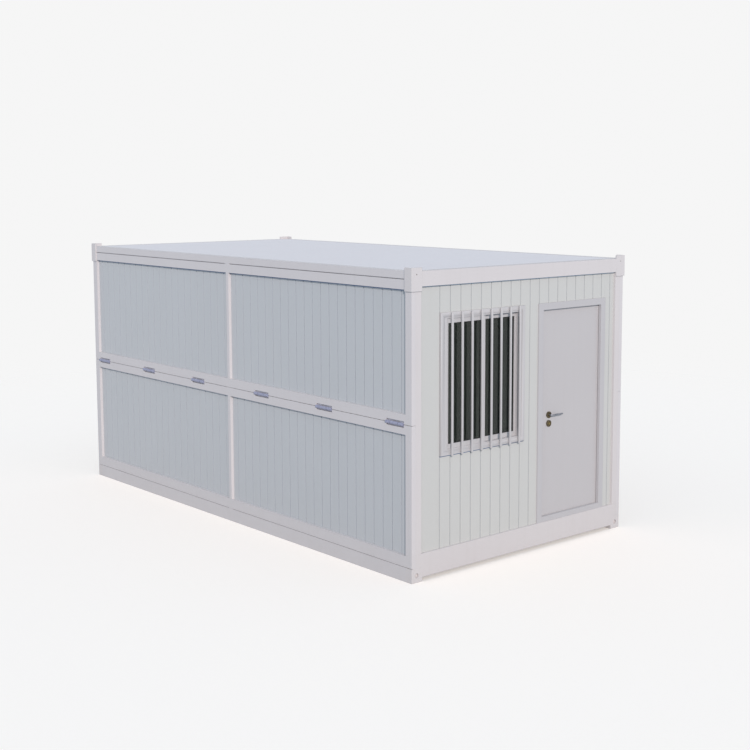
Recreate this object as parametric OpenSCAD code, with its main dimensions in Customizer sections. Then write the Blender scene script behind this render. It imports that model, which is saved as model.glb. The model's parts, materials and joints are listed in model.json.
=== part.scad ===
// Folding container house: a steel-framed room on corner castings.
// X runs across the end with the door, Y along the house, Z up from the ground.
// The end with the door and the window faces -Y; the origin is at the middle of the footprint.

/* [House] */
// Width across the end walls
house_w = 2540; // [2200:10:3000]
// Length along the folding sides
house_l = 5100; // [4400:10:6200]
// Height over the top castings
house_h = 2500; // [2350:10:2800]

/* [Corner castings] */
// Width of a bottom casting across the end
bottom_casting_w = 112; // [100:1:150]
// Height of a top casting
top_casting_h = 185; // [150:1:220]
// How far the top castings stand above the roof beams
casting_rise = 28; // [10:1:40]
// How far the top castings stand proud of the sides and ends
casting_proud = 10; // [2:1:14]
// Thickness of the lip that rises along the outer sides of a top casting
casting_lip = 14; // [8:1:20]
// Wall thickness of a casting
casting_wall = 12; // [8:1:18]
// Diameter of the bolt hole in a bottom casting's end face
bolt_hole_d = 38; // [24:1:44]
// Depth of the bolt hole
bolt_hole_deep = 20; // [12:1:26]
// Height of the bolt hole above the ground
bolt_hole_z = 58; // [45:1:75]
// Distance of the bolt hole from the side of the house
bolt_hole_x = 54; // [40:1:75]
// Diameter of the pin hole in a top casting's end face
pin_hole_d = 12; // [8:1:20]
// Distance of the pin hole from the side of the house
pin_hole_x = 46; // [30:1:90]
// Distance of the pin hole below the top of the casting
pin_hole_drop = 53; // [30:1:80]
// Length of the lifting slot in a top casting
slot_l = 50; // [36:1:60]
// Width of the lifting slot in a top casting
slot_w = 30; // [20:1:34]

/* [Base] */
// Height of the side beams of the base
base_beam_h = 117; // [100:1:140]
// Top of the end beams above the ground
sill_z = 227; // [200:1:260]
// Underside of the end beams above the ground
end_beam_clear = 35; // [10:1:50]
// Depth of a base beam's flanges
base_flange = 80; // [60:1:110]
// Sheet thickness of all channel beams
channel_t = 5; // [3:1:8]
// Spacing of the floor joists
joist_pitch = 480; // [350:10:700]
// Width of a floor joist
joist_w = 50; // [40:1:80]
// Thickness of the floor board
floor_board_t = 18; // [12:1:30]

/* [Roof] */
// Height of the roof side beams
roof_side_beam_h = 60; // [50:1:90]
// Height of the roof end beams
roof_end_beam_h = 120; // [100:1:150]
// Depth of the roof beams' flanges
roof_flange = 80; // [60:1:110]
// Thickness of the roof panels
roof_panel_t = 50; // [40:1:56]
// Number of roof panels along the house
roof_panel_n = 5; // [3:1:8]

/* [Folding sides] */
// Thickness of a side frame at its end stiles
side_t = 40; // [34:1:50]
// Width of an end stile along the side
stile_w = 74; // [62:1:90]
// Width of the middle mullion
mullion_w = 40; // [30:1:60]
// Height of the fold line above the ground
fold_z = 1265; // [1150:1:1350]
// Height of the lower frame's bottom rail
low_bottom_rail = 94; // [70:1:120]
// Height of the lower frame's top rail
low_top_rail = 78; // [60:1:110]
// Height of the upper frame's bottom rail
up_bottom_rail = 81; // [60:1:110]
// Height of the upper frame's top rail
up_top_rail = 85; // [60:1:110]
// Gap between the frames where they fold
fold_gap = 2; // [1:0.5:3]
// Height of the shadow groove under the roof side beams
top_groove_h = 7; // [4:1:14]
// Height of the shadow grooves at the fold and over the base
seam_h = 4; // [3:0.5:8]
// Depth of the shadow grooves
seam_deep = 14; // [6:1:24]
// Length of the bridge at the mullion where the shadow grooves stop
seam_bridge = 72; // [50:1:120]

/* [Panels] */
// Thickness of the sandwich wall panels
panel_t = 50; // [40:1:75]
// How far the side panels lie behind their frames
side_recess = 28; // [16:1:34]
// How far the end panels lie behind the end posts
end_recess = 20; // [12:1:30]
// Gap between neighbouring panels of the rear wall and the roof
panel_joint = 0.6; // [0.4:0.1:2]
// Pitch of the grooves in the panels
groove_pitch = 115; // [80:1:160]
// Distance of an end wall's first groove from its left post
groove_start = 213; // [40:1:240]
// Width of a groove at the face
groove_w = 9; // [8:1:24]
// Depth of a groove
groove_deep = 5; // [2:0.5:8]

/* [Fold hinges] */
// Length of a fold hinge along the side
hinge_l = 210; // [170:1:240]
// Length of each outer knuckle
end_knuckle_l = 55; // [40:1:65]
// Gap between neighbouring knuckles
knuckle_gap = 5; // [2:0.5:8]
// Outer diameter of the knuckles
knuckle_d = 28; // [22:1:30]
// Diameter of the hinge pin
hinge_pin_d = 14; // [10:1:16]
// Radial clearance between the pin and the loose knuckle
pin_clear = 0.1; // [0.1:0.05:0.5]
// Height of a hinge leaf above its knuckles
hinge_leaf_h = 10; // [7:1:16]
// Thickness of a hinge leaf
hinge_leaf_t = 5; // [3:1:6]
// Gap between the knuckles and the back of their pocket
pocket_gap = 3; // [1:0.5:5]
// Gap around a hinge at the edge of its pocket
pocket_edge = 2; // [1:0.5:4]
// Distance of the first and last hinges from the ends of a side
hinge_end = 200; // [150:5:300]
// Distance of the hinges nearest the mullion from the middle of a side
hinge_mid = 525; // [300:5:700]

/* [End walls] */
// Width of an end post
end_post_w = 62; // [50:1:100]
// Number of panels in the rear wall
rear_panel_n = 2; // [2:1:4]

/* [Door] */
// Distance of the door frame from the right side of the house
door_side = 225; // [200:1:320]
// Width over the door frame
door_w = 864; // [760:1:900]
// Height of the end wall above the door and window frames
over_door = 222; // [150:1:300]
// Face width of the door frame
door_frame_face = 58; // [40:1:70]
// Height of the door frame's sill
door_sill = 46; // [20:1:60]
// How far the door and window frames stand proud of the panels
frame_proud = 12; // [4:1:16]
// Thickness of the door leaf
leaf_t = 42; // [36:1:50]
// Depth of the leaf's face behind the frame's face
leaf_recess = 32; // [28:1:50]
// Gap around the leaf
leaf_gap = 7; // [6.5:0.5:9]
// Gap between the leaf and the stop that it closes on
stop_gap = 5; // [5:0.5:8]
// Depth of the rebate around the leaf
stop_lap = 16; // [12:1:20]
// Diameter of a door hinge's knuckle
door_knuckle_d = 16; // [12:1:20]
// Diameter of a door hinge's pin
door_pin_d = 8; // [6:0.5:10]
// Length of a door hinge
door_hinge_l = 100; // [80:1:120]
// Distance of the outer door hinges from the leaf's ends
door_hinge_end = 220; // [180:5:300]

/* [Lever handle] */
// Height of the lever above the bottom of the leaf
lever_z = 890; // [800:5:1000]
// Distance of the spindle from the leaf's closing edge
backset = 116; // [90:1:160]
// Length of the lever from the spindle
lever_l = 135; // [110:1:150]
// Diameter of the lever's bar
lever_d = 17; // [14:0.5:20]
// Distance of the lever's bar from the leaf
lever_off = 40; // [34:1:42]
// Radial clearance around the lever's neck and spindle
lever_clear = 1; // [0.5:0.25:1.5]
// Diameter of a rose
rose_d = 57; // [48:1:64]
// Thickness of a rose
rose_t = 9; // [6:1:12]
// Distance between the lever's rose and the lock cylinder's rose
cylinder_drop = 76; // [70:1:100]
// Diameter of the spindle
spindle_d = 9; // [8:0.5:12]
// Diameter of the lock cylinder
cylinder_d = 17; // [15:0.5:20]

/* [Window] */
// Distance of the window frame from the left side of the house
window_side = 316; // [260:1:360]
// Distance between the window frame and the door frame
window_door_gap = 173; // [100:1:240]
// Height over the window frame
window_h = 1152; // [900:2:1250]
// Face width of the window frame's jambs
window_jamb_face = 70; // [40:1:80]
// Face height of the window frame's head and sill
window_head_face = 50; // [36:1:60]
// Depth of the window frame
window_frame_d = 72; // [64:1:90]
// Face width of a sash's outer stile
sash_face = 20; // [16:1:50]
// Face height of a sash's rails
sash_rail = 38; // [24:1:50]
// Face width of the meeting stiles
meeting_w = 46; // [40:1:70]
// Thickness of a sash
sash_t = 24; // [20:1:30]
// Gap between the two sashes
sash_gap = 4; // [2:0.5:6]
// Thickness of the glass
glass_t = 5; // [3:0.5:6]

/* [Hidden] */

$fn = 48;
over = 1;                                   // cuts run this far past a face
half_w = house_w / 2;
half_l = house_l / 2;
roof_z = house_h - casting_rise;            // top of the roof beams
top_casting_z = house_h - top_casting_h;    // underside of the top castings
roof_side_z = roof_z - roof_side_beam_h;    // underside of the roof side beams
roof_end_z = roof_z - roof_end_beam_h;      // underside of the roof end beams
rail_t = side_recess + panel_t;             // depth of the side rails and the mullion
bay_l = (house_l - 2 * stile_w - mullion_w) / 2;
front_y = -half_l;
end_face_y = front_y + end_recess;          // outer face of the front panels
end_back_y = end_face_y + panel_t;          // inner face of the front panels
end_post_d = end_recess + panel_t;
post_x = half_w - side_t;                   // outer side of the end posts
clear_x = post_x - end_post_w;              // inner side of the end posts
top_casting_w = side_t + end_post_w;        // the top castings cover the corner's two uprights
casting_d = stile_w;                        // depth of a casting along the side
panel_top_z = roof_end_z;                   // the end panels stop under the roof beam

door_x1 = half_w - door_side;
door_x0 = door_x1 - door_w;
door_z0 = sill_z;
door_z1 = panel_top_z - over_door;
door_face_y = end_face_y - frame_proud;
leaf_x0 = door_x0 + door_frame_face - stop_lap + leaf_gap;
leaf_x1 = door_x1 - door_frame_face + stop_lap - leaf_gap;
leaf_z0 = door_z0 + door_sill - stop_lap + leaf_gap;
leaf_z1 = door_z1 - door_frame_face + stop_lap - leaf_gap;
leaf_y0 = door_face_y + leaf_recess;
leaf_y1 = leaf_y0 + leaf_t;
door_axis_x = leaf_x1 + leaf_gap / 2;
door_axis_y = leaf_y1 + door_knuckle_d / 2;
spindle_x = leaf_x0 + backset;
spindle_z = leaf_z0 + lever_z;

window_x0 = -half_w + window_side;
window_x1 = door_x0 - window_door_gap;
window_z1 = door_z1;
window_z0 = window_z1 - window_h;
window_face_y = end_face_y - frame_proud;

// Box between two opposite corners.
module box(lo, hi) {
    translate(lo) cube([hi[0] - lo[0], hi[1] - lo[1], hi[2] - lo[2]]);
}

// Mirrors its children to the right side of the house, or leaves them on the left.
module side(right) {
    mirror([right ? 1 : 0, 0, 0]) children();
}

// Mirrors its children to the rear end of the house, or leaves them at the front.
module end(rear) {
    mirror([0, rear ? 1 : 0, 0]) children();
}

// Repeats its children at the four corners.
module corners() {
    for (sx = [0, 1], sy = [0, 1]) mirror([sx, 0, 0]) mirror([0, sy, 0]) children();
}

// Channel in the Y-Z plane with its web on the -Y side, extruded along X.
module channel_x(x0, x1, y, z0, z1, flange) {
    translate([x0, y, z0]) rotate([90, 0, 90]) linear_extrude(x1 - x0)
        channel_profile(flange, z1 - z0);
}

// Channel in the X-Z plane with its web on the -X side, extruded along Y.
module channel_y(y0, y1, x, z0, z1, flange) {
    translate([x, y1, z0]) rotate([90, 0, 0]) linear_extrude(y1 - y0)
        channel_profile(flange, z1 - z0);
}

module channel_profile(flange, h) {
    difference() {
        square([flange, h]);
        translate([channel_t, channel_t]) square([flange, h - 2 * channel_t]);
    }
}

// --- Base -----------------------------------------------------------------

module bottom_castings() {
    color("#d6d4d8") corners() difference() {
        box([-half_w, -half_l, 0],
            [-half_w + bottom_casting_w, -half_l + casting_d, base_beam_h]);
        box([-half_w + casting_wall, -half_l + bolt_hole_deep + casting_wall, casting_wall],
            [-half_w + bottom_casting_w - casting_wall, -half_l + casting_d - casting_wall,
            base_beam_h - casting_wall]);
        translate([-half_w + bolt_hole_x, -half_l - over, bolt_hole_z]) rotate([-90, 0, 0])
            cylinder(d = bolt_hole_d, h = bolt_hole_deep + over);
    }
}

module floor_beam_side(right) {
    color("#c6c4cc") side(right)
        channel_y(-half_l + casting_d, half_l - casting_d, -half_w, 0, base_beam_h, base_flange);
}

// End beam: a deep channel that steps down between the castings.
module floor_beam_end(rear) {
    color("#d8d5d6") end(rear) difference() {
        channel_x(-post_x, post_x, front_y, end_beam_clear, sill_z, end_post_d);
        for (s = [0, 1]) mirror([s, 0, 0])
            box([-half_w, front_y - over, 0],
                [-half_w + bottom_casting_w, front_y + casting_d + over, base_beam_h]);
    }
}

joist_n = floor((house_l - 2 * casting_d) / joist_pitch);
joist_z0 = channel_t;
floor_z = base_beam_h;
module floor_joists() {
    color("#8f9296") for (i = [1:joist_n])
        translate([0, -half_l + casting_d + i * (house_l - 2 * casting_d) / (joist_n + 1), 0])
            box([-half_w + base_flange, -joist_w / 2, joist_z0],
                [half_w - base_flange, joist_w / 2, floor_z - floor_board_t]);
}

module floor_board() {
    color("#9a958c") box([-half_w + base_flange, front_y + casting_d, floor_z - floor_board_t],
        [half_w - base_flange, -front_y - casting_d, floor_z]);
}

// --- Roof -----------------------------------------------------------------

// Hollow blocks level with the roof, with a lip along their two outer sides.
module top_castings() {
    color("#dad8dc") corners() difference() {
        box([-half_w - casting_proud, -half_l - casting_proud, top_casting_z],
            [-half_w + top_casting_w, -half_l + casting_d, house_h]);
        box([-half_w - casting_proud + casting_lip, -half_l - casting_proud + casting_lip, roof_z],
            [-half_w + top_casting_w + over, -half_l + casting_d + over, house_h + over]);
        box([-half_w + casting_wall, -half_l + casting_wall, top_casting_z + casting_wall],
            [-half_w + top_casting_w - casting_wall, -half_l + casting_d - casting_wall,
            roof_z - casting_wall]);
        translate([-half_w + top_casting_w / 2, -half_l + casting_d / 2,
            roof_z - casting_wall - over])
            linear_extrude(casting_wall + 2 * over) slot_outline();
        translate([-half_w + pin_hole_x, -half_l - casting_proud - over, house_h - pin_hole_drop])
            rotate([-90, 0, 0])
            cylinder(d = pin_hole_d, h = casting_proud + casting_wall + 2 * over);
    }
}

module slot_outline() {
    square([slot_l - slot_w, slot_w], center = true);
    for (s = [-1, 1]) translate([s * (slot_l - slot_w) / 2, 0]) circle(d = slot_w);
}

module roof_beam_side(right) {
    color("#cfced6") side(right)
        channel_y(-half_l + casting_d, half_l - casting_d, -half_w, roof_side_z, roof_z, roof_flange);
}

module roof_beam_end(rear) {
    color("#dcdadc") end(rear)
        channel_x(-clear_x, clear_x, front_y - casting_proud, roof_end_z, roof_z,
            casting_d + casting_proud);
}

roof_x = half_w - roof_flange;
roof_y = half_l - casting_d;
roof_panel_l = 2 * roof_y / roof_panel_n;
module roof_panels() {
    color("#d2d5de") for (i = [0:roof_panel_n - 1])
        box([-roof_x, -roof_y + i * roof_panel_l, roof_z - roof_panel_t],
            [roof_x, -roof_y + (i + 1) * roof_panel_l - panel_joint, roof_z]);
}

// --- Folding sides ----------------------------------------------------------

// Welded frame between two heights; its stiles are shallower than its rails and mullion.
module side_frame(z0, z1, bottom_rail, top_rail, stile_top, top_y) {
    for (s = [0, 1]) mirror([0, s, 0])
        box([-half_w, -half_l, z0], [-half_w + side_t, -half_l + stile_w, stile_top]);
    box([-half_w, -half_l + stile_w, z0], [-half_w + rail_t, half_l - stile_w, z0 + bottom_rail]);
    box([-half_w, -half_l + top_y, z1 - top_rail], [-half_w + rail_t, half_l - top_y, z1]);
    box([-half_w, -mullion_w / 2, z0], [-half_w + rail_t, mullion_w / 2, z1]);
}

// Shadow groove between two heights along both bays, open at the ends of the side.
module shadow_groove(z0, z1) {
    for (s = [0, 1]) mirror([0, s, 0])
        box([-half_w - over, -half_l - over, z0], [-half_w + seam_deep, -seam_bridge / 2, z1]);
}

module lower_frame(right) {
    top = fold_z - fold_gap / 2;
    color("#c3c1cb") side(right) difference() {
        side_frame(base_beam_h, top, low_bottom_rail, low_top_rail, top, stile_w);
        shadow_groove(base_beam_h - over, base_beam_h + seam_h);
        shadow_groove(fold_z - seam_h / 2, top + over);
        hinge_pockets();
    }
}

module upper_frame(right) {
    bottom = fold_z + fold_gap / 2;
    color("#c3c1cb") side(right) difference() {
        side_frame(bottom, roof_side_z, up_bottom_rail, up_top_rail, top_casting_z, casting_d);
        shadow_groove(bottom - over, fold_z + seam_h / 2);
        hinge_pockets();
        shadow_groove(roof_side_z - top_groove_h, roof_side_z + over);
    }
}

// Sandwich panel in plan from x0 to x1: grooves at the given places run up its outer face,
// which looks to -Y.
module grooved_profile(x0, x1, places) {
    polygon(concat([[x0, panel_t], [x0, 0]],
        [for (x = places, c = [[-0.5, 0], [-0.25, 1], [0.25, 1], [0.5, 0]])
            if (x > x0 + groove_w && x < x1 - groove_w)
                [x + c[0] * groove_w, c[1] * groove_deep]],
        [[x1, 0], [x1, panel_t]]));
}

bay_groove_n = floor(bay_l / groove_pitch);
bay_grooves = [for (k = [0:bay_groove_n - 1])
    bay_l / 2 + (k - (bay_groove_n - 1) / 2) * groove_pitch];
module side_panels(right, z0, z1) {
    color("#b4b9c0") side(right) for (s = [0, 1]) mirror([0, s, 0])
        translate([-half_w + side_recess, -mullion_w / 2, z0]) rotate(-90)
            linear_extrude(z1 - z0) grooved_profile(0, bay_l, bay_grooves);
}

module lower_panels(right) {
    side_panels(right, base_beam_h + low_bottom_rail, fold_z - fold_gap / 2 - low_top_rail);
}

module upper_panels(right) {
    side_panels(right, fold_z + fold_gap / 2 + up_bottom_rail, roof_side_z - up_top_rail);
}

// --- Fold hinges --------------------------------------------------------------

hinge_ys = [for (s = [-1, 1], d = [hinge_mid, (half_l - hinge_end + hinge_mid) / 2,
    half_l - hinge_end]) s * d];
hinge_h = knuckle_d / 2 + hinge_leaf_h;      // a hinge reaches this far above the fold
mid_knuckle_l = hinge_l - 2 * (end_knuckle_l + knuckle_gap);
pocket_deep = knuckle_d / 2 + pocket_gap;

// The hinge pins lie in the outer face of the side.
module at_hinges(right) {
    side(right) for (y = hinge_ys) translate([-half_w, y, fold_z]) children();
}

// Shallow pockets in the rails, where the hinges sit.
module hinge_pockets() {
    at_hinges(false) box([-over, -hinge_l / 2 - pocket_edge, -hinge_h - pocket_edge],
        [pocket_deep, hinge_l / 2 + pocket_edge, hinge_h + pocket_edge]);
}

// Ends of the knuckles of one half of a hinge.
function knuckle_spans(up) = up ? [[-hinge_l / 2, -hinge_l / 2 + end_knuckle_l],
    [hinge_l / 2 - end_knuckle_l, hinge_l / 2]] : [[-mid_knuckle_l / 2, mid_knuckle_l / 2]];

// One half of the hinges: knuckles on a leaf at the back of the pocket. The upper half has
// the two outer knuckles, which grip the pin; the lower half has the loose middle one.
module fold_hinges(right, up) {
    color("#8d93ad") at_hinges(right) mirror([0, 0, up ? 0 : 1]) difference() {
        union() {
            for (v = knuckle_spans(up)) {
                translate([0, v[1], 0]) rotate([90, 0, 0]) cylinder(d = knuckle_d, h = v[1] - v[0]);
                box([pocket_deep - hinge_leaf_t, v[0], fold_gap / 2],
                    [pocket_deep, v[1], hinge_h]);
            }
            box([pocket_deep - hinge_leaf_t, -hinge_l / 2, knuckle_d / 2 + fold_gap],
                [pocket_deep, hinge_l / 2, hinge_h]);
        }
        rotate([90, 0, 0])
            cylinder(d = hinge_pin_d + (up ? 0 : 2 * pin_clear), h = hinge_l + 2 * over, center = true);
    }
}

module fold_hinge_pins(right) {
    color("#6f7480") at_hinges(right) rotate([90, 0, 0])
        cylinder(d = hinge_pin_d, h = hinge_l, center = true);
}

// --- End walls ------------------------------------------------------------------

module end_posts(rear) {
    color("#d8d5d6") end(rear) for (s = [0, 1]) mirror([s, 0, 0])
        box([-post_x, front_y, sill_z], [-clear_x, front_y + end_post_d, top_casting_z]);
}

end_grooves = [for (x = [-clear_x + groove_start : groove_pitch : clear_x]) x];

// Grooved end panel between two places across the house and two heights.
module end_panel(x0, x1, z0, z1) {
    translate([0, end_face_y, z0]) linear_extrude(z1 - z0) grooved_profile(x0, x1, end_grooves);
}

module front_panel_window() {
    color("#cdcfc9") difference() {
        end_panel(-clear_x, door_x0, sill_z, panel_top_z);
        box([window_x0, front_y, window_z0], [window_x1, end_back_y + over, window_z1]);
    }
}

module front_panel_over_door() {
    color("#cdcfc9") end_panel(door_x0, door_x1, door_z1, panel_top_z);
}

module front_panel_right() {
    color("#cdcfc9") end_panel(door_x1, clear_x, sill_z, panel_top_z);
}

module rear_panels() {
    w = 2 * clear_x / rear_panel_n;
    color("#cdcfc9") end(true) for (i = [0:rear_panel_n - 1])
        end_panel(-clear_x + i * w, -clear_x + (i + 1) * w - panel_joint, sill_z, panel_top_z);
}

// --- Door -------------------------------------------------------------------------

door_frame_y1 = leaf_y1;
module door_frame() {
    f = door_frame_face;
    color("#c4c3c8") difference() {
        box([door_x0, door_face_y, door_z0], [door_x1, door_frame_y1, door_z1]);
        box([door_x0 + f, door_face_y - over, door_z0 + door_sill],
            [door_x1 - f, door_frame_y1 + over, door_z1 - f]);
        box([leaf_x0 - leaf_gap, leaf_y0 - stop_gap, leaf_z0 - leaf_gap],
            [leaf_x1 + leaf_gap, door_frame_y1 + over, leaf_z1 + leaf_gap]);
    }
}

module door_leaf() {
    color("#c3c2c7") difference() {
        box([leaf_x0, leaf_y0, leaf_z0], [leaf_x1, leaf_y1, leaf_z1]);
        translate([spindle_x, leaf_y0 - over, spindle_z]) rotate([-90, 0, 0])
            cylinder(d = spindle_d + 2 * lever_clear, h = leaf_t + 2 * over);
        translate([spindle_x, leaf_y0 - over, spindle_z - cylinder_drop]) rotate([-90, 0, 0])
            cylinder(d = cylinder_d + 2 * pin_clear, h = leaf_t + 2 * over);
    }
}

door_hinge_zs = [leaf_z0 + door_hinge_end, (leaf_z0 + leaf_z1) / 2, leaf_z1 - door_hinge_end];
door_knuckle_gap = 1;
door_knuckle_l = (door_hinge_l - door_knuckle_gap) / 2;

module door_hinges_fixed() {
    color("#a9aaad") for (z = door_hinge_zs) translate([door_axis_x, door_axis_y, z]) union() {
        translate([0, 0, -door_hinge_l / 2]) cylinder(d = door_knuckle_d, h = door_knuckle_l);
        translate([0, 0, -door_hinge_l / 2]) cylinder(d = door_pin_d, h = door_hinge_l - 4);
        box([0, -door_knuckle_d / 2, -door_hinge_l / 2],
            [30, -door_knuckle_d / 2 + 3, -door_hinge_l / 2 + door_knuckle_l]);
    }
}

module door_hinges_moving() {
    color("#a9aaad") for (z = door_hinge_zs) translate([door_axis_x, door_axis_y, z]) difference() {
        union() {
            translate([0, 0, door_hinge_l / 2 - door_knuckle_l])
                cylinder(d = door_knuckle_d, h = door_knuckle_l);
            box([-30, -door_knuckle_d / 2, door_hinge_l / 2 - door_knuckle_l],
                [0, -door_knuckle_d / 2 + 3, door_hinge_l / 2]);
        }
        translate([0, 0, -over])
            cylinder(d = door_pin_d + 2 * pin_clear, h = door_hinge_l / 2 - 3 + over);
    }
}

module at_spindle(dz = 0) {
    translate([spindle_x, 0, spindle_z - dz]) rotate([-90, 0, 0]) children();
}

module door_roses() {
    color("#5b584c") for (dz = [0, cylinder_drop]) for (y = [leaf_y0 - rose_t, leaf_y1])
        at_spindle(dz) translate([0, 0, y]) difference() {
            cylinder(d = rose_d, h = rose_t);
            translate([0, 0, -over])
                cylinder(d = dz == 0 ? lever_d + 2 * lever_clear : cylinder_d + 2 * pin_clear,
                    h = rose_t + 2 * over);
        }
}

module lock_cylinder() {
    color("#b9a46a") at_spindle(cylinder_drop) translate([0, 0, leaf_y0 - rose_t - 2])
        cylinder(d = cylinder_d, h = leaf_t + 2 * rose_t + 4);
}

neck_gap = 1;                               // the lever's necks stop this far from the leaf
module door_lever() {
    color("#b9b8ba") union() {
        at_spindle() translate([0, 0, leaf_y0 - lever_off])
            cylinder(d = spindle_d, h = leaf_t + 2 * lever_off);
        for (y = [leaf_y0 - lever_off, leaf_y1 + neck_gap])
            at_spindle() translate([0, 0, y]) cylinder(d = lever_d, h = lever_off - neck_gap);
        for (y = [leaf_y0 - lever_off, leaf_y1 + lever_off])
            translate([spindle_x, y, spindle_z]) rotate([0, 90, 0]) {
                cylinder(d = lever_d, h = lever_l);
                sphere(d = lever_d);
                translate([0, 0, lever_l]) sphere(d = lever_d);
            }
    }
}

// --- Window -------------------------------------------------------------------------

window_y1 = window_face_y + window_frame_d;
sight_x0 = window_x0 + window_jamb_face;     // the frame's opening
sight_x1 = window_x1 - window_jamb_face;
sight_z0 = window_z0 + window_head_face;
sight_z1 = window_z1 - window_head_face;
module window_frame() {
    color("#bfc0c2") difference() {
        box([window_x0, window_face_y, window_z0], [window_x1, window_y1, window_z1]);
        box([sight_x0, window_face_y - over, sight_z0], [sight_x1, window_y1 + over, sight_z1]);
    }
}

meeting_x = (window_x0 + window_x1) / 2;
front_sash_y = window_face_y + 10;
back_sash_y = front_sash_y + sash_t + sash_gap;
// Sash between two places across the window, with stiles of the given face widths.
module sash(x0, x1, y, left_stile, right_stile) {
    color("#b9bbbd") difference() {
        box([x0, y, sight_z0], [x1, y + sash_t, sight_z1]);
        box([x0 + left_stile, y - over, sight_z0 + sash_rail],
            [x1 - right_stile, y + sash_t + over, sight_z1 - sash_rail]);
    }
}

// The pane that fills the same sash.
module glass(x0, x1, y, left_stile, right_stile) {
    color("#39423d", 0.6) box([x0 + left_stile, y + (sash_t - glass_t) / 2, sight_z0 + sash_rail],
        [x1 - right_stile, y + (sash_t + glass_t) / 2, sight_z1 - sash_rail]);
}

module window_sash_left() {
    sash(sight_x0, meeting_x + meeting_w / 2, front_sash_y, sash_face, meeting_w);
}

module window_sash_right() {
    sash(meeting_x - meeting_w / 2, sight_x1, back_sash_y, meeting_w, sash_face);
}

module window_glass_left() {
    glass(sight_x0, meeting_x + meeting_w / 2, front_sash_y, sash_face, meeting_w);
}

module window_glass_right() {
    glass(meeting_x - meeting_w / 2, sight_x1, back_sash_y, meeting_w, sash_face);
}

bottom_castings();
floor_beam_side(false);  // floor_beam_left
floor_beam_side(true);  // floor_beam_right
floor_beam_end(false);  // floor_beam_front
floor_beam_end(true);  // floor_beam_rear
floor_joists();
floor_board();
top_castings();
roof_beam_side(false);  // roof_beam_left
roof_beam_side(true);  // roof_beam_right
roof_beam_end(false);  // roof_beam_front
roof_beam_end(true);  // roof_beam_rear
roof_panels();
lower_frame(false);  // left_frame_lower
upper_frame(false);  // left_frame_upper
lower_frame(true);  // right_frame_lower
upper_frame(true);  // right_frame_upper
lower_panels(false);  // left_panels_lower
upper_panels(false);  // left_panels_upper
lower_panels(true);  // right_panels_lower
upper_panels(true);  // right_panels_upper
fold_hinges(false, false);  // left_hinges_lower
fold_hinges(false, true);  // left_hinges_upper
fold_hinge_pins(false);  // left_hinge_pins
fold_hinges(true, false);  // right_hinges_lower
fold_hinges(true, true);  // right_hinges_upper
fold_hinge_pins(true);  // right_hinge_pins
end_posts(false);  // front_posts
end_posts(true);  // rear_posts
front_panel_window();
front_panel_over_door();
front_panel_right();
rear_panels();
door_frame();
door_leaf();
door_hinges_fixed();
door_hinges_moving();
door_roses();
lock_cylinder();
door_lever();
window_frame();
window_sash_left();
window_sash_right();
window_glass_left();
window_glass_right();
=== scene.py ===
import json
import math
import bpy
import numpy as np
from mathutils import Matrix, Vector


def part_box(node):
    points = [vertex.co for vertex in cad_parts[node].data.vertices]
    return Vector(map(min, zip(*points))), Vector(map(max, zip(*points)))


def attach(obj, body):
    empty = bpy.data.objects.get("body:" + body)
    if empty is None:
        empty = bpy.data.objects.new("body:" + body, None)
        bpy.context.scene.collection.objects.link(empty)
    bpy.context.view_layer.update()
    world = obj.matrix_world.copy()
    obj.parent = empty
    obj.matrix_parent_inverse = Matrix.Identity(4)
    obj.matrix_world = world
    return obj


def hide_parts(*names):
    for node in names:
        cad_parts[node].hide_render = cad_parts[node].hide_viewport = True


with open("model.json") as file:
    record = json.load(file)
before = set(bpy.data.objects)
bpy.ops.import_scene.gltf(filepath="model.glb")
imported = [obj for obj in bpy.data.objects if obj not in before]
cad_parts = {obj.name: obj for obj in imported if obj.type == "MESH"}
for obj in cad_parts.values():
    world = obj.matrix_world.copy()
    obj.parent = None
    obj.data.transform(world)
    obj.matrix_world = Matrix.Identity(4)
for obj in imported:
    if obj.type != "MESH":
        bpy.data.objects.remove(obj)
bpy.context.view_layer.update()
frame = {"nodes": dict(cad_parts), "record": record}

# Dresses the folding container house: the finish of each piece, the window's bars, casing and
# beads, the door's handles and edge seal, gasket and sealant strips as painted shadow lines, then
# floor, light and camera

nodes = frame["nodes"]


# --- Helpers -----------------------------------------------------------------

def rgb(code):
    """Linear colour of an sRGB hex code: c / 12.92 up to 0.04045, ((c + 0.055) / 1.055)^2.4 above."""
    c = np.array([int(code[i:i + 2], 16) for i in (1, 3, 5)]) / 255
    return (*np.where(c <= 0.04045, c / 12.92, ((c + 0.055) / 1.055) ** 2.4).tolist(), 1.0)


def add(tree, kind, inputs=None, **settings):
    """Adds a node. inputs maps a socket's name or number to a value or to another node's output."""
    node = tree.nodes.new(kind)
    for key, value in settings.items():
        setattr(node, key, value)
    for key, value in (inputs or {}).items():
        if isinstance(value, bpy.types.NodeSocket):
            tree.links.new(value, node.inputs[key])
        else:
            node.inputs[key].default_value = value
    return node


def new_tree(name):
    """A new node material with only an output node, and its tree."""
    mat = bpy.data.materials.new(name)
    mat.use_nodes = True
    mat.node_tree.nodes.clear()
    return mat, mat.node_tree


# --- Materials ---------------------------------------------------------------

# Scales of the patterns, in marks per metre, from the width of the real marks
CLOUDS = 1.7                        # tone of a sprayed field, 600 mm
RAIN_RUNS = (26.0, 26.0, 0.7)       # 40 mm wide and 1.4 m long
DUST_PATCHES = 9.0                  # 110 mm
ORANGE_PEEL = 260.0                 # 4 mm
BRUSH_LINES = (900.0, 900.0, 40.0)  # 1 mm: the real 0.1 mm is too fine to show
HANDLED_PATCHES = 60.0              # 17 mm
BLOOM = 35.0                        # 30 mm
GLASS_FILM = 7.0                    # 140 mm
PRESSED_MESH = 250.0                # 4 mm
SCUFFS = 5.0                        # 200 mm
FLOOR_SPECKS = 40.0                 # 25 mm

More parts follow.
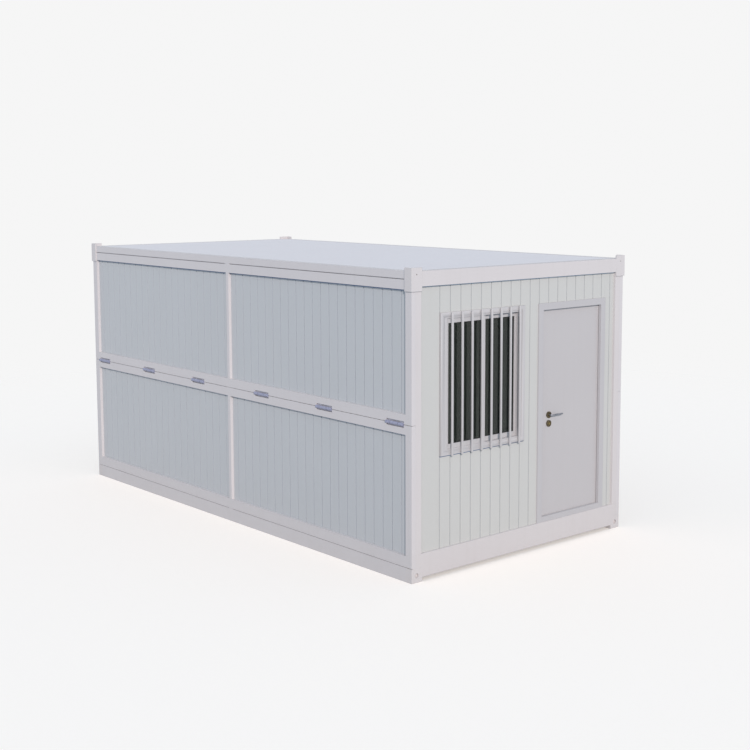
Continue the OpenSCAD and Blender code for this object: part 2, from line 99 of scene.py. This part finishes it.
DUST = "#a8a196"
DUST_TOP = 0.4                      # height that splashed dust reaches
PAINT_EDGE = 0.0025                 # radius of a painted edge
METAL_EDGE = 0.0012                 # radius of a polished edge
GROOVE_REACH = 0.012                # reach of the occlusion that paints shade into grooves and inner corners


def painted(name, base, worn_and_highlight, rough=0.42, groove_shade=None, specular=0.5):
    """Sprayed or coil-coated steel: cloudy tone, rain runs, dust near the ground, softened edges
    lightened by wear and a painted highlight, orange peel, and painted shade in grooves and
    inner corners where a colour is given for it."""
    mat, t = new_tree(name)
    place = add(t, "ShaderNodeTexCoord").outputs["Object"]
    cloud = add(t, "ShaderNodeTexNoise", {"Vector": place, "Scale": CLOUDS, "Detail": 4.0})
    runs_at = add(t, "ShaderNodeMapping", {"Vector": place, "Scale": RAIN_RUNS})
    runs = add(t, "ShaderNodeTexNoise", {"Vector": runs_at.outputs[0], "Scale": 1.0, "Detail": 3.0})
    runs_map = add(t, "ShaderNodeMapRange", {"Value": runs.outputs["Fac"], "From Min": 0.52,
                                             "From Max": 0.8, "To Max": 0.05})
    cloud_map = add(t, "ShaderNodeMapRange", {"Value": cloud.outputs["Fac"], "From Min": 0.3,
                                              "From Max": 0.7, "To Max": 0.16})
    tone = add(t, "ShaderNodeMix", {0: cloud_map.outputs[0], 6: rgb(base), 7: rgb(worn_and_highlight)},
               data_type="RGBA")
    run_tone = add(t, "ShaderNodeMix", {0: runs_map.outputs[0], 6: tone.outputs[2], 7: rgb(DUST)},
                   data_type="RGBA")
    height = add(t, "ShaderNodeSeparateXYZ", {0: place})
    low = add(t, "ShaderNodeMapRange", {"Value": height.outputs["Z"], "From Min": DUST_TOP,
                                        "From Max": 0.0, "To Max": 0.13})
    grit = add(t, "ShaderNodeTexNoise", {"Vector": place, "Scale": DUST_PATCHES, "Detail": 6.0,
                                         "Roughness": 0.65})
    dusty = add(t, "ShaderNodeMath", {0: low.outputs[0], 1: grit.outputs["Fac"]},
                operation="MULTIPLY")
    soiled = add(t, "ShaderNodeMix", {0: dusty.outputs[0], 6: run_tone.outputs[2], 7: rgb(DUST)},
                 data_type="RGBA")
    round_edge = add(t, "ShaderNodeBevel", {"Radius": PAINT_EDGE}, samples=4)
    flat = add(t, "ShaderNodeNewGeometry")
    turn = add(t, "ShaderNodeVectorMath", {0: round_edge.outputs[0], 1: flat.outputs["Normal"]},
               operation="DOT_PRODUCT")
    # Edges turn towards the lighter edge colour: paint wear, and a painted highlight along every edge
    rub_and_highlight = add(t, "ShaderNodeMapRange", {"Value": turn.outputs["Value"], "From Min": 0.99,
                                        "From Max": 0.8, "To Max": 0.3})
    wear_and_painted_light = add(t, "ShaderNodeMix", {0: rub_and_highlight.outputs[0], 6: soiled.outputs[2], 7: rgb(worn_and_highlight)},
                 data_type="RGBA")
    # Painted shade: where short-range occlusion finds a groove or inner corner, the colour is pulled
    # towards the given shade colour
    if groove_shade:
        crease_occlusion = add(t, "ShaderNodeAmbientOcclusion", {"Distance": GROOVE_REACH}, samples=4,
                      only_local=True)
        crease_shade = add(t, "ShaderNodeMapRange", {"Value": crease_occlusion.outputs["AO"], "From Min": 0.95,
                                             "From Max": 0.5, "To Max": 0.42})
        wear_and_painted_light = add(t, "ShaderNodeMix", {0: crease_shade.outputs[0], 6: wear_and_painted_light.outputs[2], 7: rgb(groove_shade)},
                     data_type="RGBA")
    peel = add(t, "ShaderNodeTexNoise", {"Vector": place, "Scale": ORANGE_PEEL, "Detail": 1.0})
    bump = add(t, "ShaderNodeBump", {"Height": peel.outputs["Fac"], "Strength": 0.6,
                                     "Distance": 0.00012, "Normal": round_edge.outputs[0]})
    gloss = add(t, "ShaderNodeMapRange", {"Value": grit.outputs["Fac"], "From Min": 0.3,
                                          "From Max": 0.7, "To Min": rough - 0.05,
                                          "To Max": rough + 0.07})
    skin = add(t, "ShaderNodeBsdfPrincipled", {"Base Color": wear_and_painted_light.outputs[2],
                                               "Roughness": gloss.outputs[0],
                                               "Specular IOR Level": specular,
                                               "Normal": bump.outputs[0]})
    add(t, "ShaderNodeOutputMaterial", {"Surface": skin.outputs[0]})
    return mat


def brushed(name, light, dark, rough=0.3, metal=1.0, barrel=None, plates=None):
    """Bare or plated metal with fine brush lines across it and darker handled patches.

    With barrel (x, z, radius) it is bare round that line only, and painted plates further out."""
    mat, t = new_tree(name)
    place = add(t, "ShaderNodeTexCoord").outputs["Object"]
    lines_at = add(t, "ShaderNodeMapping", {"Vector": place, "Scale": BRUSH_LINES})
    lines = add(t, "ShaderNodeTexNoise", {"Vector": lines_at.outputs[0], "Scale": 1.0,
                                          "Detail": 2.0})
    patch = add(t, "ShaderNodeTexNoise", {"Vector": place, "Scale": HANDLED_PATCHES,
                                          "Detail": 4.0})
    both = add(t, "ShaderNodeMath", {0: lines.outputs["Fac"], 1: patch.outputs["Fac"]},
               operation="MULTIPLY")
    share = add(t, "ShaderNodeMapRange", {"Value": both.outputs[0], "From Min": 0.12,
                                          "From Max": 0.42})
    tone = add(t, "ShaderNodeMix", {0: share.outputs[0], 6: rgb(dark), 7: rgb(light)},
               data_type="RGBA")
    if barrel:
        x, z, radius = barrel
        either = add(t, "ShaderNodeVectorMath", {0: place}, operation="ABSOLUTE")
        off = add(t, "ShaderNodeVectorMath", {0: either.outputs[0], 1: (x, 0.0, z)},
                  operation="SUBTRACT")
        across_off = add(t, "ShaderNodeVectorMath", {0: off.outputs[0], 1: (1.0, 0.0, 1.0)},
                         operation="MULTIPLY")
        away = add(t, "ShaderNodeVectorMath", {0: across_off.outputs[0]}, operation="LENGTH")
        plate = add(t, "ShaderNodeMapRange", {"Value": away.outputs["Value"],
                                              "From Min": radius + 0.0005,
                                              "From Max": radius + 0.0015})
        tone = add(t, "ShaderNodeMix", {0: plate.outputs[0], 6: tone.outputs[2], 7: rgb(plates)},
                   data_type="RGBA")
        metal = add(t, "ShaderNodeMapRange", {"Value": plate.outputs[0], "To Min": metal,
                                              "To Max": 0.0}).outputs[0]
    gloss = add(t, "ShaderNodeMapRange", {"Value": patch.outputs["Fac"], "From Min": 0.3,
                                          "From Max": 0.7, "To Min": rough, "To Max": rough + 0.15})
    round_edge = add(t, "ShaderNodeBevel", {"Radius": METAL_EDGE}, samples=4)
    bump = add(t, "ShaderNodeBump", {"Height": lines.outputs["Fac"], "Strength": 0.3,
                                     "Distance": 0.00005, "Normal": round_edge.outputs[0]})
    skin = add(t, "ShaderNodeBsdfPrincipled", {"Base Color": tone.outputs[2], "Metallic": metal,
                                               "Roughness": gloss.outputs[0],
                                               "Normal": bump.outputs[0]})
    add(t, "ShaderNodeOutputMaterial", {"Surface": skin.outputs[0]})
    return mat


def rubber(name, base, dusty):
    """Extruded rubber: matt, with a dusty bloom."""
    mat, t = new_tree(name)
    place = add(t, "ShaderNodeTexCoord").outputs["Object"]
    bloom = add(t, "ShaderNodeTexNoise", {"Vector": place, "Scale": BLOOM, "Detail": 5.0})
    tone = add(t, "ShaderNodeMix", {0: bloom.outputs["Fac"], 6: rgb(base), 7: rgb(dusty)},
               data_type="RGBA")
    bump = add(t, "ShaderNodeBump", {"Height": bloom.outputs["Fac"], "Strength": 0.3,
                                     "Distance": 0.0002})
    skin = add(t, "ShaderNodeBsdfPrincipled", {"Base Color": tone.outputs[2], "Roughness": 0.7,
                                               "Normal": bump.outputs[0]})
    add(t, "ShaderNodeOutputMaterial", {"Surface": skin.outputs[0]})
    return mat


def glazing(name):
    """Grey-green tinted float glass with faint dust, seen against a dark room."""
    mat, t = new_tree(name)
    place = add(t, "ShaderNodeTexCoord").outputs["Object"]
    film = add(t, "ShaderNodeTexNoise", {"Vector": place, "Scale": GLASS_FILM, "Detail": 6.0})
    rough = add(t, "ShaderNodeMapRange", {"Value": film.outputs["Fac"], "From Min": 0.35,
                                          "From Max": 0.8, "To Min": 0.02, "To Max": 0.09})
    tint = add(t, "ShaderNodeMix", {0: film.outputs["Fac"], 6: rgb("#69766d"), 7: rgb("#5f6b64")},
               data_type="RGBA")
    skin = add(t, "ShaderNodeBsdfPrincipled", {"Base Color": tint.outputs[2],
                                               "Roughness": rough.outputs[0], "IOR": 1.40,
                                               "Transmission Weight": 0.9})
    add(t, "ShaderNodeOutputMaterial", {"Surface": skin.outputs[0]})
    return mat


def plywood(name):
    """Film-faced floor plywood: brown-grey film with a pressed mesh and scuffs."""
    mat, t = new_tree(name)
    place = add(t, "ShaderNodeTexCoord").outputs["Object"]
    mesh = add(t, "ShaderNodeTexChecker", {"Vector": place, "Scale": PRESSED_MESH})
    scuff = add(t, "ShaderNodeTexNoise", {"Vector": place, "Scale": SCUFFS, "Detail": 8.0,
                                          "Roughness": 0.7})
    tone = add(t, "ShaderNodeMix", {0: scuff.outputs["Fac"], 6: rgb("#8f887c"), 7: rgb("#a7a196")},
               data_type="RGBA")
    bump = add(t, "ShaderNodeBump", {"Height": mesh.outputs["Fac"], "Strength": 0.4,
                                     "Distance": 0.0002})
    skin = add(t, "ShaderNodeBsdfPrincipled", {"Base Color": tone.outputs[2], "Roughness": 0.55,
                                               "Normal": bump.outputs[0]})
    add(t, "ShaderNodeOutputMaterial", {"Surface": skin.outputs[0]})
    return mat


pin_lo, pin_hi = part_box("right_hinge_pins")
knuckle_r = 0.014                       # radius of a fold hinge's barrel
fold_barrel = ((pin_lo.x + pin_hi.x) / 2, (pin_lo.z + pin_hi.z) / 2, knuckle_r)
finish = {
    # white sprayed paint on the whole frame: bright bands between the panels; the long sides' copy is
    # a touch cooler, painted shade
    "end_frame_paint": painted("white_sprayed_ends", "#d1ccce", "#dddadb", rough=0.6, specular=0.3),
    "side_frame_paint": painted("white_sprayed_sides_cool_shade", "#d1cdd0", "#dddadc", rough=0.6,
                                specular=0.3),
    # coil-coated skins of the walls, darker and cooler on the long sides as painted shade: the large
    # calm fields, ruled by painted shade in their grooves
    "side_panel": painted("grey_coil_coat_painted_shade", "#bcbfc4", "#c5c8cd", rough=0.36,
                          groove_shade="#6c7c92"),
    "end_panel": painted("pale_grey_coil_coat", "#c6c6c5", "#cfcfce", rough=0.36,
                         groove_shade="#7d8a96"),
    # blue-white roof sheet: chalky from rain, so it hardly shines at a low angle
    "roof_sheet": painted("blue_white_roof_sheet", "#eae6ea", "#efecf0", rough=0.8, specular=0.3),
    # film-faced plywood: a dull brown-grey floor behind the open door
    "floor_board": plywood("film_faced_plywood"),
    # grey primer on the joists: a plain dark underside
    "floor_steel": painted("grey_primer", "#84888e", "#93979c", rough=0.5),
    # zinc-blue hinge barrels: small cool accents on the fold line, their plates painted over
    "fold_hinge_steel": brushed("blue_zinc_hinges", "#adb1c8", "#898da9", rough=0.42, metal=0.35,
                                barrel=fold_barrel, plates="#c8c6cd"),
    # the door set is a shade greyer than the wall round it
    "door_frame_paint": painted("pale_grey_door_frame", "#bbb9bd", "#c6c4c8", rough=0.38),
    "door_leaf_paint": painted("pale_grey_door_skin", "#bdbabd", "#c7c5c7", rough=0.38),
    # satin steel butts: small bright marks in the edge of the open door
    "door_hinge_steel": brushed("satin_steel_butts", "#c4c4c6", "#97989b"),
    # dark bronze roses: the darkest small accent of the door
    "rose_bronze": brushed("dark_bronze_roses", "#857860", "#3d3729", rough=0.34),
    # aged brass cylinder: a dull yellow dot in the lower rose
    "cylinder_brass": brushed("aged_brass_cylinder", "#a8985e", "#5b5334"),
    # dark satin steel: a cool grey line across the leaf
    "lever_steel": brushed("dark_satin_lever", "#a9acb4", "#70737d"),
    # grey-white powder coat of the sliding window and its bars
    "window_aluminium": painted("grey_white_powder_coat", "#c0bec1", "#cccacd", rough=0.34),
    # grey-green glass: the dark field behind the bars
    "window_glass": glazing("grey_green_glass"),
}
for row in frame["record"]["subparts"]:
    for slot in nodes[row["node"]].material_slots:
        slot.material = finish[row["material_slot"]]


# --- Surfaces ------------------------------------------------------------------

sunk = 0.0005                           # how deep a bead's back is sunk into what carries it


def sweep(path, profile, normal, closed=False):
    """Tube P(i, j) = path_i + u_ij n + v_ij b_i about a path square to the unit normal n.

    b_i = (c + d) / (1 + c . d), with c and d = n x (direction of the edge) before and after point i,
    so corners come out mitred. The profile (u, v) is one for all of the path, or one for each
    point. Faces: quads round the tube, and two caps where it is open."""
    path, profile, n = np.array(path, float), np.array(profile, float), np.array(normal, float)
    profile = profile if profile.ndim == 3 else profile[None]
    edge = np.roll(path, -1, 0) - path
    if not closed:
        edge[-1] = edge[-2]
    after = np.cross(n, edge / np.linalg.norm(edge, axis=1)[:, None])
    before = np.roll(after, 1, 0)
    if not closed:
        before[0] = after[0]
    b = (before + after) / (1 + (before * after).sum(1))[:, None]
    points = path[:, None] + profile[..., :1] * n + profile[..., 1:] * b[:, None]
    rows, cols = points.shape[:2]
    i = np.arange(rows if closed else rows - 1)[:, None]
    j = np.arange(cols)[None, :]
    k, m = (i + 1) % rows, (j + 1) % cols
    quads = np.stack([i * cols + j, i * cols + m, k * cols + m, k * cols + j], -1).reshape(-1, 4)
    faces = [quads]
    if not closed:
        faces.append(np.stack([np.arange(cols)[::-1], (rows - 1) * cols + np.arange(cols)]))
    return points.reshape(-1, 3), faces


def loop(lo, hi, y):
    """Corners of the rectangle lo to hi (x, z) at depth y, in the order of a closed path."""
    return [[lo[0], y, lo[1]], [hi[0], y, lo[1]], [hi[0], y, hi[1]], [lo[0], y, hi[1]]]


def ring(rx, ry, n=16, power=2.0):
    """Closed profile (rx sgn(c) |c|^(2/p), ry sgn(s) |s|^(2/p)): a superellipse of power p."""
    a = np.arange(n) * 2 * math.pi / n + math.pi / n
    c, s = np.cos(a), np.sin(a)
    return np.stack([rx * np.sign(c) * abs(c) ** (2 / power),
                     ry * np.sign(s) * abs(s) ** (2 / power)], 1)


def round_rect(w, h, r, n=5):
    """Points of a w by h rectangle about (0, 0), with corners of radius r on n points each."""
    a = np.linspace(0, math.pi / 2, n)
    quarter = np.stack([w / 2 - r + r * np.cos(a), h / 2 - r + r * np.sin(a)], 1)
    half = np.concatenate([quarter, (quarter * [-1, 1])[::-1]])
    return np.concatenate([half, -half])


def at_each(surface, offsets):
    """The same surface at each offset: P_k = P + offset_k."""
    points, faces = surface
    offsets = np.array(offsets, float)
    shift = np.arange(len(offsets))[:, None, None] * len(points)
    return ((points[None] + offsets[:, None]).reshape(-1, 3),
            [(f[None] + shift).reshape(-1, f.shape[1]) for f in faces])


def joined(*surfaces):
    """Several surfaces as one list of points and faces."""
    starts = np.cumsum([0] + [len(p) for p, _ in surfaces])
    return (np.concatenate([p for p, _ in surfaces]),
            [f + s for (_, faces), s in zip(surfaces, starts) for f in faces])


def piece(name, surface, material, body="house"):
    """Makes a piece from a closed surface, turns its faces outward, and lets it ride on a body."""
    points, faces = surface
    listed = [face for f in faces for face in f.tolist()]
    tris = np.concatenate([np.stack([f[:, 0], f[:, a], f[:, a + 1]], 1)
                           for f in faces for a in range(1, f.shape[1] - 1)])
    a, b, c = points[tris[:, 0]], points[tris[:, 1]], points[tris[:, 2]]
    if (a * np.cross(b, c)).sum() < 0:
        listed = [face[::-1] for face in listed]
    mesh = bpy.data.meshes.new(name)
    mesh.from_pydata(points.tolist(), [], listed)
    mesh.polygons.foreach_set("use_smooth", [len(face) == 4 for face in listed])
    mesh.materials.append(material)
    mesh.update()
    obj = bpy.data.objects.new(name, mesh)
    bpy.context.scene.collection.objects.link(obj)
    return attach(obj, body)


# --- Window: guard bars, casing and glazing beads -----------------------------------

frame_lo, frame_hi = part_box("window_frame")
middle = (frame_lo.x + frame_hi.x) / 2
bar, bar_corner = 0.017, 0.004          # side of a guard bar, and the radius of its edges
bar_gap = 0.013                         # from the bars to the frame
bar_n, bar_pitch, bar_shift = 8, 0.1105, 0.012
bar_below, bar_above = 0.006, 0.002     # how far the bars reach past the frame
spacer_r, spacer_in = 0.006, 0.022      # a bar's spacer, and its distance from the frame's edge
bar_y = frame_lo.y - bar_gap - bar / 2
bar_xs = middle + bar_shift + (np.arange(bar_n) - (bar_n - 1) / 2) * bar_pitch
z0, z1 = frame_lo.z - bar_below, frame_hi.z + bar_above
# the ends of a bar are drawn in over their last 3 mm
ends = [z0, z0 + 0.001, z0 + 0.003, z1 - 0.003, z1 - 0.001, z1]
shrink = np.array([0.82, 0.94, 1, 1, 0.94, 0.82])[:, None, None]
upright = sweep([[0, bar_y, z] for z in ends], shrink * round_rect(bar, bar, bar_corner),
                (1, 0, 0))
spacer = sweep([[0, bar_y, 0], [0, frame_lo.y + 0.001, 0]], ring(spacer_r, spacer_r, 12),
               (1, 0, 0))
spacers = at_each(spacer, [[0, 0, frame_lo.z + spacer_in], [0, 0, frame_hi.z - spacer_in]])
piece("window_bars", at_each(joined(upright, spacers), [[x, 0, 0] for x in bar_xs]),
      finish["window_aluminium"])

# A cover strip with one rounded edge lies on the frame, 4 mm proud of it and 1 mm sunk
casing_w, casing_proud, casing_sunk = 0.036, 0.004, 0.001
half_w, half_t = casing_w / 2, (casing_proud + casing_sunk) / 2
inset = half_w + 0.0005
casing = sweep(loop((frame_lo.x + inset, frame_lo.z + inset), (frame_hi.x - inset, frame_hi.z - inset),
                    frame_lo.y - casing_proud + half_t),
               [[-half_t, -half_w], [-half_t, half_w - 0.002], [-half_t + 0.0007, half_w - 0.0008],
                [0, half_w], [half_t, half_w], [half_t, -half_w]], (0, 1, 0), closed=True)
piece("window_casing", casing, finish["window_aluminium"])

# Rubber beads hold each pane on both sides
bead_w, bead_d, bead_corner = 0.006, 0.0045, 0.0012
bead_in, bead_off = 0.0025, 0.002       # from the pane's edge, and from its face
glazing_beads = []
for side in ("left", "right"):
    lo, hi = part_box("window_glass_" + side)
    for y in (lo.y - bead_off, hi.y + bead_off):
        glazing_beads.append(sweep(loop((lo.x + bead_in, lo.z + bead_in),
                                        (hi.x - bead_in, hi.z - bead_in), y),
                                   round_rect(bead_d, bead_w, bead_corner, 3), (0, 1, 0),
                                   closed=True))
piece("glazing_beads", joined(*glazing_beads), rubber("black_glazing_rubber", "#1e1f21", "#34353a"))


# --- Door: lever handles ----------------------------------------------------------------

lever_lo, lever_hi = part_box("door_lever")
leaf_lo, leaf_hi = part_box("door_leaf")
grip_r = 0.0085                         # radius of the solid lever
neck_r, neck_bend = 0.0084, 0.016       # round neck of the handle, and the radius of its bend
taper, flatten = 0.0014, 0.0034         # what the grip loses in height and in depth
flat_l, tip_l = 0.035, 0.008            # length over which it flattens, and of its rounded tip
neck_from, spindle_past = 0.004, 0.008  # from the leaf to a neck's root and the spindle's end
spindle_r = 0.0044                      # half the diagonal of the square spindle
spindle_x, spindle_z = lever_lo.x + grip_r, (lever_lo.z + lever_hi.z) / 2


def lever(rose_y, grip_y):
    """Handle P(s, w) = C(s) + a(s) cos w z + b(s) sin w n(s): C leaves the rose along y, turns
    through a quarter circle and runs along x; the superellipse a, b flattens along the way and
    closes as sqrt(1 - t^2) over the rounded tip."""
    bend = neck_bend * (1 if grip_y > rose_y else -1)
    turn = np.linspace(0, math.pi / 2, 9)
    neck = np.linspace(rose_y, grip_y - bend, 4)[:-1]
    quarter = np.stack([neck_bend * (1 - np.cos(turn)), grip_y - bend + bend * np.sin(turn)], 1)
    tip = lever_hi.x - spindle_x
    t = np.linspace(0, 0.985, 7)
    xs = np.concatenate([np.linspace(neck_bend, tip - tip_l, 12)[1:], tip - tip_l + tip_l * t[1:]])
    line = np.concatenate([np.stack([0 * neck, neck], 1), quarter,
                           np.stack([xs, np.full(len(xs), grip_y)], 1)])
    path = np.stack([spindle_x + line[:, 0], line[:, 1], np.full(len(line), spindle_z)], 1)
    flat = np.clip(line[:, 0] / flat_l, 0, 1)
    close = np.ones(len(line))
    close[-6:] = np.sqrt(1 - t[1:] ** 2)
    a = (neck_r - taper * np.clip(line[:, 0] / tip, 0, 1)) * close
    b = (neck_r - flatten * flat) * close
    unit = ring(1.0, 1.0, 24, 2.6)
    return sweep(path, np.stack([a, b], 1)[:, None] * unit[None], (0, 0, 1))


spindle = sweep([[spindle_x, leaf_lo.y - spindle_past, spindle_z],
                 [spindle_x, leaf_hi.y + spindle_past, spindle_z]],
                ring(spindle_r, spindle_r, 4), (0, 0, 1))
handles = piece("lever_handles", joined(lever(leaf_lo.y - neck_from, lever_lo.y + grip_r),
                                        lever(leaf_hi.y + neck_from, lever_hi.y - grip_r),
                                        spindle),
                finish["lever_steel"], "lever")
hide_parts("door_lever")

# A pale seal fills the gap at the leaf's hinge edge, and turns with the leaf
seal_w, seal_d, seal_corner = 0.004, 0.009, 0.0015
seal_in = 0.004                         # from the leaf's top and bottom
seal_x, seal_y = leaf_hi.x + seal_w / 2 - 0.0003, leaf_lo.y + 0.009
edge_seal = sweep([[seal_x, seal_y, leaf_lo.z + seal_in], [seal_x, seal_y, leaf_hi.z - seal_in]],
                  round_rect(seal_w, seal_d, seal_corner, 4), (1, 0, 0))
piece("door_edge_seal", edge_seal, rubber("pale_grey_edge_seal", "#bcb9bd", "#c9c6ca"),
      "door")


# --- Seals and sealant: painted shadow lines ------------------------------------------

def strip(a, b, out, down, size):
    """Quarter-round bead from a to b in the corner between a face (normal out) and a ledge
    (normal down): profile s (out cos w, down sin w) swept straight along the corner."""
    w = np.linspace(0, math.pi / 2, 5)
    arc = np.stack([np.cos(w), np.sin(w)], 1) * size
    profile = np.concatenate([[[-sunk, -sunk]], arc])
    out, down = np.array(out, float), np.array(down, float)
    ends = np.array([a, b], float)
    points = ends[:, None] + profile[None, :, :1] * out + profile[None, :, 1:] * down
    cols = len(profile)
    j = np.arange(cols)
    m = (j + 1) % cols
    return points.reshape(-1, 3), [np.stack([j, m, cols + m, cols + j], -1),
                                   np.stack([j[::-1], cols + j])]


# Blue-grey gasket strips under the window frame, and along the top and the near edge of each side
# panel: painted shadow lines, thin and dark blue where the shade falls on those edges
wall_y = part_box("front_panel_window")[0].y
mullion_w = 0.040                       # middle upright of a side
window_shade_bead, top_shade_bead, side_shade_bead, wall_shade_bead = 0.008, 0.010, 0.006, 0.009  # radius of each bead
shadow_line_gaskets = [strip((frame_lo.x, wall_y, frame_lo.z), (frame_hi.x, wall_y, frame_lo.z),
                 (0, -1, 0), (0, 0, -1), window_shade_bead)]
for side, sign in (("left", -1), ("right", 1)):
    for level in ("lower", "upper"):
        lo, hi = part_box(f"{side}_panels_{level}")
        x = lo.x if sign < 0 else hi.x
        for y0, y1 in ((lo.y, -mullion_w / 2), (mullion_w / 2, hi.y)):
            shadow_line_gaskets.append(strip((x, y0, hi.z), (x, y1, hi.z), (sign, 0, 0), (0, 0, -1),
                                 top_shade_bead))
            shadow_line_gaskets.append(strip((x, y0, lo.z), (x, y0, hi.z), (sign, 0, 0), (0, 1, 0),
                                 side_shade_bead))
piece("panel_shadow_line_gaskets", joined(*shadow_line_gaskets), rubber("blue_grey_shadow_line_gasket", "#4a638c", "#6480a8"))

# A pale sealant bead closes the top edge of the end walls, where the roof beam shades it; its pale
# blue is painted shade, the light bluish shadow line there
shadow_line_beads = []
for end, sign in (("front", -1), ("rear", 1)):
    walls = [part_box(name) for name in nodes if name.startswith(end + "_panel")]
    y = min(lo.y for lo, _ in walls) if sign < 0 else max(hi.y for _, hi in walls)
    x0, x1 = min(lo.x for lo, _ in walls), max(hi.x for _, hi in walls)
    z = max(hi.z for _, hi in walls)
    shadow_line_beads.append(strip((x0, y, z), (x1, y, z), (0, sign, 0), (0, 0, -1), wall_shade_bead))
piece("end_wall_shadow_line_sealant", joined(*shadow_line_beads), rubber("pale_blue_shadow_line_sealant", "#b4c6dc", "#c3d0e0"))


# --- Stage, light and camera ---------------------------------------------------------

def looked_at(tree):
    """1 where the camera sees the point, itself, in a reflection or through glass, 0 for light."""
    ray = add(tree, "ShaderNodeLightPath")
    direct = add(tree, "ShaderNodeMath", {0: ray.outputs["Is Camera Ray"],
                                          1: ray.outputs["Is Glossy Ray"]}, operation="MAXIMUM")
    return add(tree, "ShaderNodeMath", {0: direct.outputs[0],
                                        1: ray.outputs["Is Transmission Ray"]},
               operation="MAXIMUM").outputs[0]


def disc(radius, rings, spokes):
    """Flat grid (r cos a, r sin a, 0), with r = radius (i / rings)^1.5, and a hub face."""
    r = radius * (np.arange(1, rings + 1) / rings) ** 1.5
    a = np.arange(spokes) * 2 * math.pi / spokes
    points = np.stack([np.outer(r, np.cos(a)), np.outer(r, np.sin(a)), np.zeros((rings, spokes))], -1)
    i, j = np.arange(rings - 1)[:, None], np.arange(spokes)[None]
    m = (j + 1) % spokes
    quads = np.stack([i * spokes + j, (i + 1) * spokes + j, (i + 1) * spokes + m, i * spokes + m],
                     -1).reshape(-1, 4)
    return points.reshape(-1, 3), quads.tolist() + [list(range(spokes))]


# Matt floor that glows a little where it is looked at, and fades into the backdrop far out
floor_r, fade_from, fade_to = 14.0, 4.0, 12.5
ground_mat, t = new_tree("pale_studio_floor")
spot = add(t, "ShaderNodeTexCoord").outputs["Object"]
shown = looked_at(t)
reach = add(t, "ShaderNodeVectorMath", {0: spot}, operation="LENGTH")
fade = add(t, "ShaderNodeMapRange", {"Value": reach.outputs["Value"], "From Min": fade_from,
                                     "From Max": fade_to}, interpolation_type="SMOOTHSTEP")
speck = add(t, "ShaderNodeTexNoise", {"Vector": spot, "Scale": FLOOR_SPECKS, "Detail": 3.0})
pale = add(t, "ShaderNodeMix", {0: speck.outputs["Fac"], 6: rgb("#f4ece5"), 7: rgb("#f8f0e9")},
           data_type="RGBA")
tone = add(t, "ShaderNodeMix", {0: shown, 6: rgb("#b4b4b4"), 7: pale.outputs[2]},
           data_type="RGBA")
matt = add(t, "ShaderNodeBsdfDiffuse", {"Color": tone.outputs[2]})
glow = add(t, "ShaderNodeEmission", {"Color": (0.24, 0.24, 0.24, 1.0), "Strength": shown})
lit = add(t, "ShaderNodeAddShader", {0: matt.outputs[0], 1: glow.outputs[0]})
clear = add(t, "ShaderNodeBsdfTransparent")
mixed = add(t, "ShaderNodeMixShader", {0: fade.outputs[0], 1: lit.outputs[0],
                                       2: clear.outputs[0]})
add(t, "ShaderNodeOutputMaterial", {"Surface": mixed.outputs[0]})
points, faces = disc(floor_r, 24, 96)
ground_mesh = bpy.data.meshes.new("ground")
ground_mesh.from_pydata(points.tolist(), [], faces)
ground_mesh.materials.append(ground_mat)
ground = bpy.data.objects.new("ground", ground_mesh)
bpy.context.scene.collection.objects.link(ground)

# Cool soft sky for the light, a plain pale backdrop where it is looked at
world = bpy.data.worlds.new("studio")
world.use_nodes = True
t = world.node_tree
t.nodes.clear()
sky_tone = add(t, "ShaderNodeMix", {0: looked_at(t), 6: (0.462, 0.55, 0.637, 1.0),
                                    7: (0.92, 0.92, 0.92, 1.0)}, data_type="RGBA")
sky = add(t, "ShaderNodeBackground", {"Color": sky_tone.outputs[2], "Strength": 1.0})
add(t, "ShaderNodeOutputWorld", {"Surface": sky.outputs[0]})
bpy.context.scene.world = world

# One warm key from the left of the door end, against the cooler sky
key_travel = Vector((0.50, 0.79, -0.36))
sun = bpy.data.lights.new("key", "SUN")
sun.energy = 2.4
sun.color = (1.0, 0.908, 0.836)
sun.angle = math.radians(3)
sun_at = bpy.data.objects.new("key", sun)
sun_at.rotation_euler = key_travel.to_track_quat("-Z", "Y").to_euler()
bpy.context.scene.collection.objects.link(sun_at)

# The camera stands a little over roof height off the near corner, and looks slightly down
look_down, heading = 0.1127, -0.7294    # radians
lens = bpy.data.cameras.new("camera")
lens.sensor_width = 36.0
lens.lens = 61.66
lens.shift_x, lens.shift_y = -0.0560, -0.0667
lens.clip_end = 200.0
camera = bpy.data.objects.new("camera", lens)
camera.location = (-7.7971, -9.9152, 3.1735)
camera.rotation_euler = (math.pi / 2 - look_down, 0.0, heading)
bpy.context.scene.collection.objects.link(camera)
bpy.context.scene.camera = camera
bpy.context.scene.view_settings.view_transform = "Standard"
